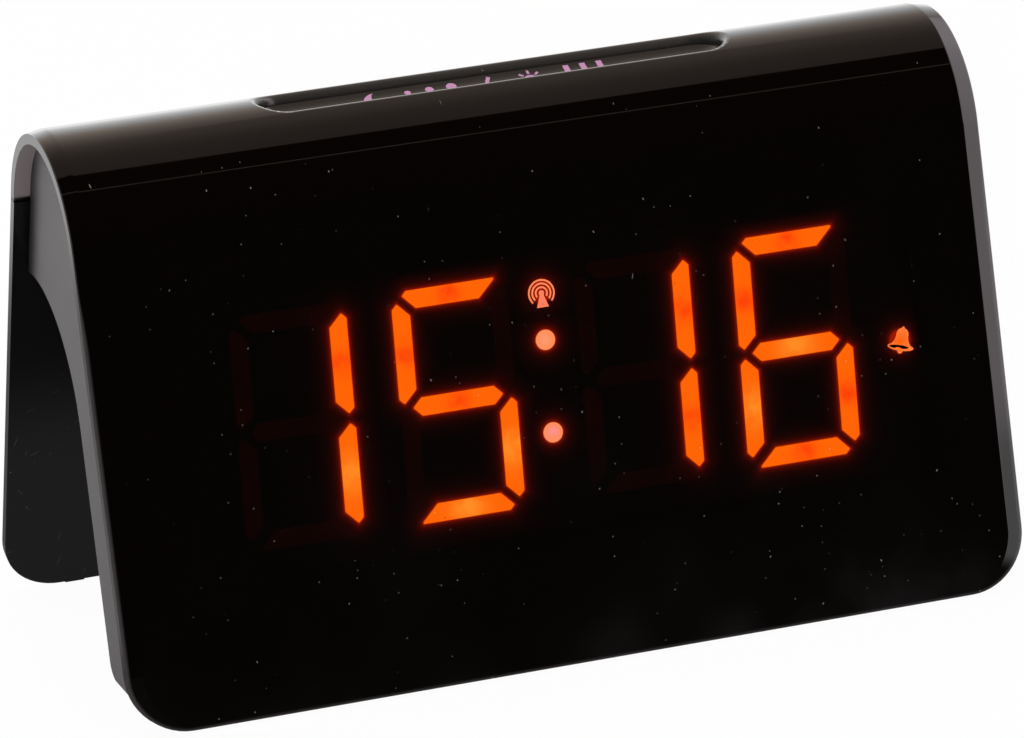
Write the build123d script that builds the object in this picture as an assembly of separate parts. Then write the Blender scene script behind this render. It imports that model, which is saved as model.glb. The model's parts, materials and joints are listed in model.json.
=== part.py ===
from build123d import *
import os
from math import cos, radians, sin, sqrt

# A tent-shaped LED alarm clock: a glossy cover wraps over the top, a matt housing sits behind it
# and a leg leans against the back. Millimetres and degrees. X runs to the viewer's right, Y to the
# back and Z up. The origin is on the table, under the middle of the clock.

# Overall form
WIDTH = 140.0
HEIGHT = 84.0
ARCH_RADIUS = 17.6
FRONT_LEAN = 10.9
REAR_LEAN = 21.0
EDGE_GAP = 0.4
CORNER_RADIUS = 9.0

# Front cover
COVER_WALL = 2.0
COVER_TAIL = 2.2
BEVEL_WIDTH = 2.4
BEVEL_DEPTH = 0.45
COVER_LUG_SIDE = 34.0

# Rear leg
LEG_WALL = 2.2
LEG_SEAM = 0.2
LEG_EDGE_ROUND = 0.6
LEG_LUG_SIDE = 20.0

# Housing
HOUSING_WALL = 1.8
END_RECESS = 2.5
HOUSING_FLOOR = 3.6
FLOOR_ROUND = 2.8
SLAB_DEPTH = 19.0
SLAB_STRAIGHT = 35.6
SWEEP_LARGEST = 22.0
HOOD_DROP = 26.4
WEB_X = 33.5
WEB_THICKNESS = 5.0
WEB_FRONT_GAP = 4.0

# Lugs that take the case screws
LUG_WIDTH = 8.0
LUG_REACH = 6.0
LUG_HEIGHT = 6.5

# Feet
REAR_FOOT_SIDE = 11.5
REAR_FOOT_WIDTH = 3.0
REAR_FOOT_HEIGHT = 2.4
REAR_FOOT_INSET = 0.5
FRONT_FOOT_SIDE = 22.0
FRONT_FOOT_LENGTH = 12.0
FRONT_FOOT_DEPTH = 5.0
FRONT_FOOT_SETBACK = 1.5
FRONT_FOOT_ROUND = 1.0

# Display, measured on the front slope
DISPLAY_SHARE = 0.4158
DIGIT_HEIGHT = 34.3
DIGIT_CENTRE_X = -0.76
DIGIT_INNER_X = 14.1
DIGIT_OUTER_SIDE = 31.1
DIGIT_SPACE = 6.9
DIGIT_SLANT = 2.0
STROKE = 2.72
SEGMENT_GAP = 1.35
SIDE_POINT = 0.8
SIDE_TIP_GAP = 0.7
SIDE_TIP_DROP = 1.75
BAR_POINT = 0.7
BAR_TRIM = 0.8
SEGMENT_ROUND = 0.2
SEGMENT_THICKNESS = 1.2
DOT_RADIUS = 1.5
DOT_SPACING = 13.7
SYMBOL_SIZE = 4.2
SYMBOL_WELL_RADIUS = 2.4
BELL_SIDE = 15.1
BELL_DROP = 1.46
BELL_TURN = -16.0
BELL_TOP = 1.7
BELL_SHOULDER = 0.75
BELL_NECK = 0.98
BELL_FLARE = (1.25, -0.4)
BELL_MOUTH_DOWN = 1.2
BELL_MOUTH_HEIGHT = 0.55
BELL_LINE = 0.25
BELL_KNOB = 0.22
BELL_CLAPPER = 0.42
RADIO_X = -0.3
RADIO_RISE = 13.76
MAST_TOP_WIDTH = 0.4
MAST_FOOT_WIDTH = 1.85
MAST_DOT = 0.42
WAVE_WIDTH = 0.27
WAVE_RADII = (2.07, 1.55, 1.0)
WAVE_CUT_RISE = 0.2
FRAME_SIDE = 11.8
FRAME_MARGIN = 4.0
FRAME_THICKNESS = 6.5
DISPLAY_GAP = 0.3

# Main board and what is on it
BOARD_THICKNESS = 1.6
BOARD_SIDE_GAP = 1.1
BOARD_TOP = 5.0
BOARD_FLOOR_GAP = 2.5
BOARD_SCREW_SIDE = 3.2
BOARD_SCREW_FROM_TOP = 5.0
BOARD_SCREW_FROM_BOTTOM = 6.0
BOARD_LUG_SIZE = 7.0
LED_LENGTH = 1.6
LED_WIDTH = 0.8
LED_HEIGHT = 0.7
CHIP_SIZE = 12.0
CHIP_HEIGHT = 1.6
CHIP_RISE = 27.0
QUARTZ_LENGTH = 11.0
QUARTZ_WIDTH = 4.6
QUARTZ_HEIGHT = 3.5
QUARTZ_RISE = 14.0
BUZZER_RADIUS = 8.5
BUZZER_HEIGHT = 5.5
BUZZER_X = 28.0
BUZZER_RISE = 17.0
SOUND_HOLE_RADIUS = 0.9
SOUND_HOLE_RING = 4.5
SOUND_HOLE_COUNT = 6

# Power inlet, a flat low-voltage socket
INLET_SIDE = 18.0
INLET_RISE = 5.0
INLET_LENGTH = 9.0
INLET_WIDTH = 3.6
INLET_WALL = 0.45
INLET_REAR_SET = 0.2
INLET_BACK = 1.5
INLET_CLEARANCE = 0.3
TONGUE_LENGTH = 6.4
TONGUE_THICKNESS = 0.8

# Coin cell and its twist cap in the back of the slab
CELL_X = -28.0
CELL_RISE = 17.0
CELL_RADIUS = 10.0
CELL_HEIGHT = 3.2
CELL_CLEARANCE = 0.3
CAP_RADIUS = 12.0
CAP_CLEARANCE = 0.3
CAP_PLATE = 1.5
CAP_PLUG_RADIUS = 10.4
CAP_PLUG_DEPTH = 3.0
CAP_TAB_REACH = 1.3
CAP_TAB_WIDTH = 5.0
CAP_TAB_THICKNESS = 0.8
CAP_TURN = 45.0
COIN_SLOT_LENGTH = 14.0
COIN_SLOT_WIDTH = 1.8
COIN_SLOT_DEPTH = 0.8
HOLDER_WALL = 1.4
HOLDER_FLOOR = 0.8
CONTACT_THICKNESS = 0.3
CONTACT_WIDTH = 5.0
CONTACT_LENGTH = 16.0

# Snooze key
KEY_LENGTH = 72.0
KEY_WIDTH = 7.7
KEY_GAP = 0.25
KEY_RIM_DEPTH = 2.0
KEY_OPENING_ROUND = 1.2
DISH_DEPTH = 3.0
FLANGE_REACH = 2.0
FLANGE_GAP = 0.3
FLANGE_THICKNESS = 1.6
KEY_BOSS_RADIUS = 3.0
KEY_BOSS_DROP = 5.8
GUIDE_X = 26.0
GUIDE_RADIUS = 1.5
GUIDE_REACH = 1.5
SNOOZE_BOARD_LENGTH = 78.0
SNOOZE_BOARD_WIDTH = 13.0
SNOOZE_BOARD_THICKNESS = 1.2

# Push switches under the snooze key and the rear buttons
SWITCH_SIZE = 6.0
SWITCH_HEIGHT = 3.5
SWITCH_FLOOR = 0.7
PLUNGER_RADIUS = 1.7
PLUNGER_CLEARANCE = 0.05
PLUNGER_INSERT = 1.5
PLUNGER_SHOW = 1.2

# Rear buttons
BUTTON_NAMES = ("mode", "up", "down", "alarm")
BUTTON_PITCH = 12.0
BUTTON_RISE = 6.45
BUTTON_LENGTH = 8.5
BUTTON_WIDTH = 4.0
BUTTON_GAP = 0.3
BUTTON_PROUD = 0.6
BUTTON_ROUND = 0.4
BUTTON_FLANGE_REACH = 1.0
BUTTON_FLANGE = 0.8
BUTTON_BOARD_HALF_LENGTH = 30.0
BUTTON_BOARD_WIDTH = 8.0
BUTTON_BOARD_THICKNESS = 1.2
BUTTON_POST_X = 27.0
BUTTON_POST_RADIUS = 2.4

# Antenna
ROD_RADIUS = 4.0
ROD_LENGTH = 80.0
ROD_BACK = 1.4
ROD_DROP = 19.6
ROD_CLEARANCE = 0.1
COIL_RADIUS = 5.4
COIL_LENGTH = 18.0
COIL_X = -14.0

# Screws
SCREW_RADIUS = 1.0
SCREW_CLEARANCE = 0.05
SCREW_HEAD_RADIUS = 2.0
SCREW_HEAD_HEIGHT = 1.2
SCREW_LENGTH = 6.0
SMALL_SCREW_LENGTH = 4.0
CROSS_LENGTH = 2.2
CROSS_WIDTH = 0.5
CROSS_DEPTH = 0.6
SPOT_FACE_DEPTH = 0.6
SPOT_FACE_CLEARANCE = 0.3

# Values that follow from the driving dimensions
FRONT = radians(FRONT_LEAN)
REAR = radians(REAR_LEAN)
AXIS_Z = HEIGHT - ARCH_RADIUS
FRONT_LENGTH = (AXIS_Z + (ARCH_RADIUS - COVER_WALL) * sin(FRONT) - EDGE_GAP) / cos(FRONT)
REAR_LENGTH = (AXIS_Z + (ARCH_RADIUS - LEG_WALL) * sin(REAR) - EDGE_GAP) / cos(REAR)
FRONT_REACH = ARCH_RADIUS * cos(FRONT) + FRONT_LENGTH * sin(FRONT)
REAR_REACH = ARCH_RADIUS * cos(REAR) + REAR_LENGTH * sin(REAR)
AXIS_Y = (FRONT_REACH - REAR_REACH) / 2
HOUSING_HALF = WIDTH / 2 - END_RECESS
ROOM_HALF = HOUSING_HALF - HOUSING_WALL
HOOD_UNDERSIDE = HEIGHT - HOOD_DROP
# The sweep leaves the back of the slab straight as high as the battery cap reaches
SWEEP_RADIUS = min(SWEEP_LARGEST, HOOD_UNDERSIDE - SLAB_STRAIGHT)
FRAME_FRONT = COVER_WALL + DISPLAY_GAP
BOARD_FRONT = FRAME_FRONT + FRAME_THICKNESS
BOARD_BACK = BOARD_FRONT + BOARD_THICKNESS
ROOM_FLOOR = HOUSING_FLOOR + HOUSING_WALL
BOARD_FLOOR = (AXIS_Z + (ARCH_RADIUS - BOARD_BACK) * sin(FRONT) - ROOM_FLOOR) / cos(FRONT)
BOARD_BOTTOM = BOARD_FLOOR - BOARD_FLOOR_GAP
BOARD_HALF_WIDTH = ROOM_HALF - BOARD_SIDE_GAP
BOARD_SCREW_X = BOARD_HALF_WIDTH - BOARD_SCREW_SIDE
DISPLAY_DOWN = FRONT_LENGTH * DISPLAY_SHARE
FRAME_HALF_WIDTH = WIDTH / 2 - FRAME_SIDE
DIGIT_OUTER_X = WIDTH / 2 - DIGIT_OUTER_SIDE
DIGIT_WIDTH = DIGIT_OUTER_X - DIGIT_INNER_X - DIGIT_SPACE
BELL_X = WIDTH / 2 - BELL_SIDE
INLET_X = WIDTH / 2 - INLET_SIDE
INLET_DOWN = BOARD_BOTTOM - INLET_RISE
CELL_DOWN = BOARD_BOTTOM - CELL_RISE
BUZZER_DOWN = BOARD_BOTTOM - BUZZER_RISE
CHIP_DOWN = BOARD_BOTTOM - CHIP_RISE
QUARTZ_DOWN = BOARD_BOTTOM - QUARTZ_RISE
BUTTON_BOARD_DEPTH = LEG_WALL + BUTTON_GAP + BUTTON_FLANGE + PLUNGER_SHOW + SWITCH_HEIGHT
BUTTON_HEIGHT = HOOD_UNDERSIDE + BUTTON_RISE
BUTTON_DOWN = (AXIS_Z + (ARCH_RADIUS - BUTTON_BOARD_DEPTH) * sin(REAR) - BUTTON_HEIGHT) / cos(REAR)
COVER_LUG_X = WIDTH / 2 - COVER_LUG_SIDE
LEG_LUG_X = WIDTH / 2 - LEG_LUG_SIDE
REAR_FOOT_X = WIDTH / 2 - REAR_FOOT_SIDE
FRONT_FOOT_X = WIDTH / 2 - FRONT_FOOT_SIDE
SWEEP_DEPTH = SLAB_DEPTH + SWEEP_RADIUS
SWEEP_HEIGHT = HOOD_UNDERSIDE - SWEEP_RADIUS
MIDDLE = (Align.CENTER, Align.CENTER, Align.CENTER)
ON_PLANE = (Align.CENTER, Align.CENTER, Align.MIN)
EDGE_TOLERANCE = 0.01


# Points of the side profile, as (y, z)
def front_point(depth, down):
    """A point so deep behind the front face and so far down its slope from the arch."""
    radius = ARCH_RADIUS - depth
    y = AXIS_Y - radius * cos(FRONT) - down * sin(FRONT)
    z = AXIS_Z + radius * sin(FRONT) - down * cos(FRONT)
    return (y, z)


def rear_point(depth, down):
    """A point so deep in front of the leg's outer face and so far down its slope from the arch."""
    radius = ARCH_RADIUS - depth
    y = AXIS_Y + radius * cos(REAR) + down * sin(REAR)
    z = AXIS_Z + radius * sin(REAR) - down * cos(REAR)
    return (y, z)


def front_at(depth, height):
    """The point at this depth behind the front face and this height above the table."""
    down = (AXIS_Z + (ARCH_RADIUS - depth) * sin(FRONT) - height) / cos(FRONT)
    return front_point(depth, down)


def rear_at(depth, height):
    """The point at this depth in front of the leg's outer face and this height above the table."""
    down = (AXIS_Z + (ARCH_RADIUS - depth) * sin(REAR) - height) / cos(REAR)
    return rear_point(depth, down)


def arch_top(depth):
    return (AXIS_Y, HEIGHT - depth)


# Work planes
def front_plane(depth, down, x=0.0):
    """Parallel to the front: local x to the right, y up the slope, z out of the front."""
    return Plane((x, *front_point(depth, down)), x_dir=(1, 0, 0), z_dir=(0, -cos(FRONT), sin(FRONT)))


def slab_plane(depth, down, x=0.0):
    """Parallel to the front, looking the other way: z points out of the back of the slab."""
    return Plane((x, *front_point(depth, down)), x_dir=(1, 0, 0), z_dir=(0, cos(FRONT), -sin(FRONT)))


def rear_plane(depth, down, x=0.0):
    """Parallel to the leg: local x to the right, y down the slope, z out of the back."""
    return Plane((x, *rear_point(depth, down)), x_dir=(1, 0, 0), z_dir=(0, cos(REAR), sin(REAR)))


def upright_plane(x, y, z):
    return Plane((x, y, z), x_dir=(1, 0, 0), z_dir=(0, 0, 1))


# Small building blocks
def polygon(*points):
    return make_face(Polyline(*points, close=True))


def across(profile, half_width, middle=0.0):
    """A side profile made as wide as asked, about this x."""
    return Pos(middle, 0, 0) * extrude(Plane.YZ * profile, half_width, both=True)


def rod(plane, radius, start, end):
    """A cylinder along the plane's normal, between two heights above the plane."""
    return plane * Pos(0, 0, start) * Cylinder(radius, end - start, align=ON_PLANE)


def block(plane, length, width, start, end):
    """A box on a plane, between two heights above it."""
    return plane * Pos(0, 0, start) * Box(length, width, end - start, align=ON_PLANE)


def pill(plane, length, width, start, end):
    """A long key shape with round ends, between two heights above a plane."""
    return plane * Pos(0, 0, start) * extrude(SlotOverall(length, width), end - start)


def both_sides(make, x):
    return [make(-x), make(x)]


def joined(solids):
    """Separate solids kept together as one group."""
    return Compound(children=[Compound(label="piece", children=s.solids()) for s in solids])


def screw(plane, length):
    """A pan-head screw: the head stands on the plane and the shank goes below it."""
    body = rod(plane, SCREW_RADIUS, -length, 0) + rod(plane, SCREW_HEAD_RADIUS, 0, SCREW_HEAD_HEIGHT)
    for length_x, length_y in ((CROSS_LENGTH, CROSS_WIDTH), (CROSS_WIDTH, CROSS_LENGTH)):
        body -= block(plane, length_x, length_y, SCREW_HEAD_HEIGHT - CROSS_DEPTH, SCREW_HEAD_HEIGHT)
    return body


def screw_hole(plane, length):
    return rod(plane, SCREW_RADIUS + SCREW_CLEARANCE, -length - SCREW_CLEARANCE, SPOT_FACE_DEPTH)


# Side profiles of the shells
def cover_profile(skin=0.0):
    """The bent sheet, with its outer skin this far below the full form."""
    outline = Line(front_point(skin, FRONT_LENGTH), front_point(skin, 0))
    outline += ThreePointArc(front_point(skin, 0), arch_top(skin), rear_point(skin, 0))
    outline += Polyline(
        rear_point(skin, 0),
        rear_point(skin, COVER_TAIL),
        rear_point(COVER_WALL, COVER_TAIL),
        rear_point(COVER_WALL, 0),
    )
    outline += ThreePointArc(rear_point(COVER_WALL, 0), arch_top(COVER_WALL), front_point(COVER_WALL, 0))
    outline += Polyline(
        front_point(COVER_WALL, 0), front_point(COVER_WALL, FRONT_LENGTH), front_point(skin, FRONT_LENGTH)
    )
    return make_face(outline)


def leg_profile(top):
    return polygon(
        rear_point(0, top),
        rear_point(0, REAR_LENGTH),
        rear_point(LEG_WALL, REAR_LENGTH),
        rear_point(LEG_WALL, top),
    )


def room_profile(wall):
    """Everything inside the outer skin and this far inside the housing's own outer faces."""
    sweep_down = (
        AXIS_Z + (ARCH_RADIUS - SWEEP_DEPTH) * sin(FRONT) - SWEEP_HEIGHT
    ) / cos(FRONT)
    centre_y, centre_z = front_point(SWEEP_DEPTH, sweep_down)
    radius = SWEEP_RADIUS + wall
    half_turn = (radians(90) - FRONT) / 2
    bend = (centre_y - radius * sin(half_turn), centre_z + radius * cos(half_turn))
    sweep_top = (centre_y, centre_z + radius)
    sweep_end = front_point(SLAB_DEPTH - wall, sweep_down)
    outline = Line(front_at(0, HOUSING_FLOOR + wall), front_point(0, 0))
    outline += ThreePointArc(front_point(0, 0), arch_top(0), rear_point(0, 0))
    outline += Polyline(rear_point(0, 0), rear_at(0, HOOD_UNDERSIDE + wall), sweep_top)
    outline += ThreePointArc(sweep_top, bend, sweep_end)
    outline += Polyline(
        sweep_end,
        front_at(SLAB_DEPTH - wall, HOUSING_FLOOR + wall),
        front_at(0, HOUSING_FLOOR + wall),
    )
    return make_face(outline)


def housing_profile():
    outline = room_profile(0)
    corner_y, corner_z = front_at(SLAB_DEPTH, HOUSING_FLOOR)
    corner = outline.vertices().sort_by_distance((corner_y, corner_z, 0))[0]
    return fillet(corner, FLOOR_ROUND) - cover_profile() - leg_profile(COVER_TAIL)


# Places of the case screws, all driven upwards
def cover_screw_plane(x):
    y, z = front_at(COVER_WALL + LUG_REACH / 2, HOUSING_FLOOR)
    return Plane((x, y, z + SPOT_FACE_DEPTH), x_dir=(1, 0, 0), z_dir=(0, 0, -1))


def leg_screw_plane(x):
    y, z = rear_at(LEG_WALL + LUG_REACH / 2, HOOD_UNDERSIDE)
    return Plane((x, y, z + SPOT_FACE_DEPTH), x_dir=(1, 0, 0), z_dir=(0, 0, -1))


# Front cover
def cover_sheet():
    """The bent sheet: full in the middle, with a bevel along both ends."""
    bevel_x = WIDTH / 2 - BEVEL_WIDTH
    sheet = across(cover_profile(), bevel_x)
    for side in (-1, 1):
        start = Pos(side * bevel_x, 0, 0) * (Plane.YZ * cover_profile())
        end = Pos(side * WIDTH / 2, 0, 0) * (Plane.YZ * cover_profile(BEVEL_DEPTH))
        sheet += loft([start, end], ruled=True)
    return sheet


def corner_piece(plane, side, size, start, end):
    """A block that reaches from the plane's origin to one side and down."""
    return plane * Pos(side * size / 2, -size / 2, start) * Box(size, size, end - start, align=ON_PLANE)


def corner_cutter(side):
    """What is taken off a lower corner: the outside of its round, and a bevel that fades out along it."""
    down = FRONT_LENGTH - CORNER_RADIUS
    turn = front_plane(0, down, side * (WIDTH / 2 - CORNER_RADIUS))
    cutter = corner_piece(turn, side, 2 * CORNER_RADIUS, -2 * COVER_WALL, COVER_WALL)
    cutter -= rod(turn, CORNER_RADIUS, -2 * COVER_WALL, COVER_WALL)
    fade = front_plane(0, down, side * (WIDTH / 2 - CORNER_RADIUS - BEVEL_WIDTH))
    cone = Cone(CORNER_RADIUS + BEVEL_WIDTH, CORNER_RADIUS - BEVEL_WIDTH, 2 * BEVEL_DEPTH, align=MIDDLE)
    skin = corner_piece(fade, side, 2 * CORNER_RADIUS, -BEVEL_DEPTH, BEVEL_DEPTH) - fade * cone
    return cutter + skin


def opening_edges(cover):
    """The outer edges of the opening for the snooze key."""
    def on_rim(edge):
        middle = edge.position_at(0.5)
        radius = sqrt((middle.Y - AXIS_Y) ** 2 + (middle.Z - AXIS_Z) ** 2)
        inside = abs(middle.X) < KEY_LENGTH and abs(middle.Y - AXIS_Y) < KEY_WIDTH
        return inside and abs(radius - ARCH_RADIUS) < EDGE_TOLERANCE

    return cover.edges().filter_by(on_rim)


def make_front_cover():
    cover = cover_sheet() - pill(upright_plane(0, AXIS_Y, AXIS_Z), KEY_LENGTH, KEY_WIDTH, 0, ARCH_RADIUS)
    cover = fillet(opening_edges(cover), KEY_OPENING_ROUND)
    for side in (-1, 1):
        cover -= corner_cutter(side)
    lug = polygon(
        front_at(COVER_WALL, ROOM_FLOOR),
        front_at(COVER_WALL, ROOM_FLOOR + LUG_HEIGHT),
        front_at(COVER_WALL + LUG_REACH, ROOM_FLOOR + LUG_HEIGHT),
        front_at(COVER_WALL + LUG_REACH, ROOM_FLOOR),
    )
    for x in (-COVER_LUG_X, COVER_LUG_X):
        cover += across(lug, LUG_WIDTH / 2, x)
        cover -= screw_hole(cover_screw_plane(x), SCREW_LENGTH)
    return cover


# Housing
def cell_plane():
    return slab_plane(SLAB_DEPTH, CELL_DOWN, CELL_X)


def sound_holes():
    plane = slab_plane(SLAB_DEPTH, BUZZER_DOWN, BUZZER_X)
    hole = Cylinder(SOUND_HOLE_RADIUS, 2 * HOUSING_WALL, align=MIDDLE)
    ring = PolarLocations(SOUND_HOLE_RING, SOUND_HOLE_COUNT)
    return [plane * place * Pos(0, 0, -HOUSING_WALL / 2) * hole for place in [Pos(0, 0, 0), *ring]]


def make_housing():
    body = across(housing_profile(), HOUSING_HALF)
    room = room_profile(HOUSING_WALL)
    body -= across(room, ROOM_HALF)
    # Two webs in the hood carry the snooze board and the antenna
    web_top = snooze_board_height()
    inside = room - cover_profile() - leg_profile(COVER_TAIL)
    front_limit = BOARD_BACK + WEB_FRONT_GAP
    web = inside & polygon(
        front_point(front_limit, ARCH_RADIUS),
        front_at(front_limit, web_top),
        (AXIS_Y + 2 * ARCH_RADIUS, web_top),
        (AXIS_Y + 2 * ARCH_RADIUS, front_point(front_limit, ARCH_RADIUS)[1]),
    )
    for x in (-WEB_X, WEB_X):
        body += across(web, WEB_THICKNESS / 2, x)
        body -= screw_hole(snooze_screw_plane(x), SMALL_SCREW_LENGTH)
    body -= rod(rod_plane(), ROD_RADIUS + ROD_CLEARANCE, -ROD_LENGTH / 2, ROD_LENGTH / 2)
    # Lugs on the end walls carry the main board
    for x, down in board_screw_places():
        side = 1 if x > 0 else -1
        middle = side * (ROOM_HALF - BOARD_LUG_SIZE / 2)
        lug_plane = front_plane(BOARD_BACK, down, middle)
        body += block(lug_plane, BOARD_LUG_SIZE, BOARD_LUG_SIZE, -BOARD_LUG_SIZE, 0)
        body -= screw_hole(front_plane(BOARD_FRONT, down, x), SCREW_LENGTH)
    # Openings in the back of the slab
    plane = cell_plane()
    body -= rod(plane, CAP_RADIUS + CAP_CLEARANCE, -2 * HOUSING_WALL, HOUSING_WALL)
    tab_span = 2 * (CAP_RADIUS + CAP_TAB_REACH + CAP_CLEARANCE)
    unlocked = plane * Rot(0, 0, CAP_TURN)
    body -= block(unlocked, tab_span, CAP_TAB_WIDTH + 2 * CAP_CLEARANCE, -2 * HOUSING_WALL, HOUSING_WALL)
    for hole in sound_holes():
        body -= hole
    inlet = slab_plane(SLAB_DEPTH, INLET_DOWN, INLET_X)
    gap = 2 * INLET_CLEARANCE
    body -= block(inlet, INLET_LENGTH + gap, INLET_WIDTH + gap, -2 * HOUSING_WALL, HOUSING_WALL)
    # Holes for the case screws
    for x in (-COVER_LUG_X, COVER_LUG_X):
        body -= case_screw_hole(cover_screw_plane(x))
    for x in (-LEG_LUG_X, LEG_LUG_X):
        body -= case_screw_hole(leg_screw_plane(x))
    return body


def case_screw_hole(plane):
    """A clearance hole with a spot face that the screw head sits in."""
    head = rod(plane, SCREW_HEAD_RADIUS + SPOT_FACE_CLEARANCE, 0, SCREW_HEAD_HEIGHT)
    return head + screw_hole(plane, SCREW_LENGTH)


# Rear leg
def rear_foot(x):
    profile = polygon(
        rear_at(REAR_FOOT_INSET, 0),
        rear_at(REAR_FOOT_INSET, REAR_FOOT_HEIGHT),
        rear_at(LEG_WALL - REAR_FOOT_INSET, REAR_FOOT_HEIGHT),
        rear_at(LEG_WALL - REAR_FOOT_INSET, 0),
    )
    return across(profile, REAR_FOOT_WIDTH / 2, x)


def make_rear_leg():
    leg = across(leg_profile(COVER_TAIL + LEG_SEAM), WIDTH / 2)
    rear_normal = Axis((0, 0, 0), (0, cos(REAR), sin(REAR)))
    corners = leg.edges().filter_by(rear_normal).group_by(Axis.Z)[0]
    leg = fillet(corners, CORNER_RADIUS)
    outer = leg.faces().filter_by(rear_normal).sort_by(Axis.Y)[-1]
    leg = fillet(outer.edges(), LEG_EDGE_ROUND)
    hood_top = HOOD_UNDERSIDE + HOUSING_WALL
    lug = polygon(
        rear_at(LEG_WALL, hood_top),
        rear_at(LEG_WALL, hood_top + LUG_HEIGHT),
        rear_at(LEG_WALL + LUG_REACH, hood_top + LUG_HEIGHT),
        rear_at(LEG_WALL + LUG_REACH, hood_top),
    )
    for x in (-LEG_LUG_X, LEG_LUG_X):
        leg += across(lug, LUG_WIDTH / 2, x)
        leg -= screw_hole(leg_screw_plane(x), SCREW_LENGTH)
    for x in (-BUTTON_POST_X, BUTTON_POST_X):
        leg += rod(rear_plane(0, BUTTON_DOWN, x), BUTTON_POST_RADIUS, -BUTTON_BOARD_DEPTH, -LEG_WALL)
        leg -= screw_hole(button_screw_plane(x), SMALL_SCREW_LENGTH)
    hole_length = BUTTON_LENGTH + 2 * BUTTON_GAP
    hole_width = BUTTON_WIDTH + 2 * BUTTON_GAP
    for plane in button_planes():
        leg -= pill(plane, hole_length, hole_width, -LEG_WALL, BUTTON_PROUD)
    for x in (-REAR_FOOT_X, REAR_FOOT_X):
        leg -= rear_foot(x)
    return leg


def front_foot(x):
    y, z = front_at(COVER_WALL + FRONT_FOOT_SETBACK, HOUSING_FLOOR)
    middle_y = y + FRONT_FOOT_DEPTH / 2
    foot = block(upright_plane(x, middle_y, 0), FRONT_FOOT_LENGTH, FRONT_FOOT_DEPTH, 0, HOUSING_FLOOR)
    return fillet(foot.edges().filter_by(Axis.Z), FRONT_FOOT_ROUND)


# Display
def segment_outline(letter):
    """Corners of one of the seven bars of a digit, before the slant."""
    half_width = DIGIT_WIDTH / 2
    half_height = DIGIT_HEIGHT / 2
    inner = half_width - STROKE
    # A side bar ends in a blunt point, cut at 45 degrees on both of its edges
    tip = half_width - SIDE_POINT
    high = half_height - SIDE_TIP_DROP
    slope = STROKE - SIDE_POINT
    side = [
        (half_width, high - SIDE_POINT),
        (tip, high),
        (inner, high - slope),
        (inner, SIDE_TIP_GAP + slope),
        (tip, SIDE_TIP_GAP),
        (half_width, SIDE_TIP_GAP + SIDE_POINT),
    ]
    # The end cuts of the bars across run beside those of the side bars
    cut = half_height - (high - tip + SEGMENT_GAP * sqrt(2))
    top = [
        (cut - BAR_TRIM, half_height),
        (cut - BAR_TRIM - STROKE, half_height - STROKE),
        (STROKE - cut, half_height - STROKE),
        (BAR_POINT - cut, half_height - BAR_POINT),
        (2 * BAR_POINT - cut, half_height),
    ]
    reach = tip + SIDE_TIP_GAP - SEGMENT_GAP * sqrt(2)
    half_stroke = STROKE / 2
    middle = [
        (reach, 0),
        (reach - half_stroke, half_stroke),
        (half_stroke - reach, half_stroke),
        (-reach, 0),
        (half_stroke - reach, -half_stroke),
        (reach - half_stroke, -half_stroke),
    ]
    shapes = {
        "a": (top, 1, 1),
        "b": (side, 1, 1),
        "c": (side, 1, -1),
        "d": (top, -1, -1),
        "e": (side, -1, -1),
        "f": (side, -1, 1),
        "g": (middle, 1, 1),
    }
    points, flip_x, flip_y = shapes[letter]
    return [(flip_x * x, flip_y * y) for x, y in points]


def segment_face(letter, digit_x):
    slope = sin(radians(DIGIT_SLANT)) / cos(radians(DIGIT_SLANT))
    points = [(digit_x + x + slope * y, y) for x, y in segment_outline(letter)]
    face = polygon(*points)
    return fillet(face.vertices(), SEGMENT_ROUND)


DIGIT_PLACES = [DIGIT_CENTRE_X + x for x in (-DIGIT_OUTER_X, -DIGIT_INNER_X, DIGIT_INNER_X, DIGIT_OUTER_X)]
DIGITS_SHOWN = ("bc", "acdfg", "bc", "acdefg")


def digit_faces(lit):
    faces = []
    for digit_x, shown in zip(DIGIT_PLACES, DIGITS_SHOWN):
        letters = [letter for letter in "abcdefg" if (letter in shown) == lit]
        faces += [segment_face(letter, digit_x) for letter in letters]
    return faces


def dot_faces():
    slope = sin(radians(DIGIT_SLANT)) / cos(radians(DIGIT_SLANT))
    faces = []
    for up in (DOT_SPACING / 2, -DOT_SPACING / 2):
        faces.append(Pos(DIGIT_CENTRE_X + slope * up, up) * Circle(DOT_RADIUS))
    return faces


def symbol_places():
    """Middles of the bell and of the radio mast."""
    return [(BELL_X, -BELL_DROP), (RADIO_X, RADIO_RISE)]


def bell_place():
    return Pos(*symbol_places()[0]) * Rot(0, 0, BELL_TURN)


def bell_outline():
    """A small leaning bell with a knob and a clapper."""
    half = SYMBOL_SIZE / 2
    left = (-BELL_NECK, BELL_SHOULDER)
    right = (BELL_NECK, BELL_SHOULDER)
    flare_x, flare_y = BELL_FLARE
    outline = ThreePointArc((-half, -BELL_MOUTH_DOWN), (-flare_x, flare_y), left)
    outline += ThreePointArc(left, (0, BELL_TOP), right)
    outline += ThreePointArc(right, (flare_x, flare_y), (half, -BELL_MOUTH_DOWN))
    outline += Line((half, -BELL_MOUTH_DOWN), (-half, -BELL_MOUTH_DOWN))
    mouth = Pos(0, -BELL_MOUTH_DOWN)
    bell = make_face(outline) + Pos(0, BELL_TOP) * Circle(BELL_KNOB)
    bell += mouth * Ellipse(half, BELL_MOUTH_HEIGHT)
    bell += mouth * Pos(0, -BELL_MOUTH_HEIGHT) * Circle(BELL_CLAPPER)
    return bell_place() * bell


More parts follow.
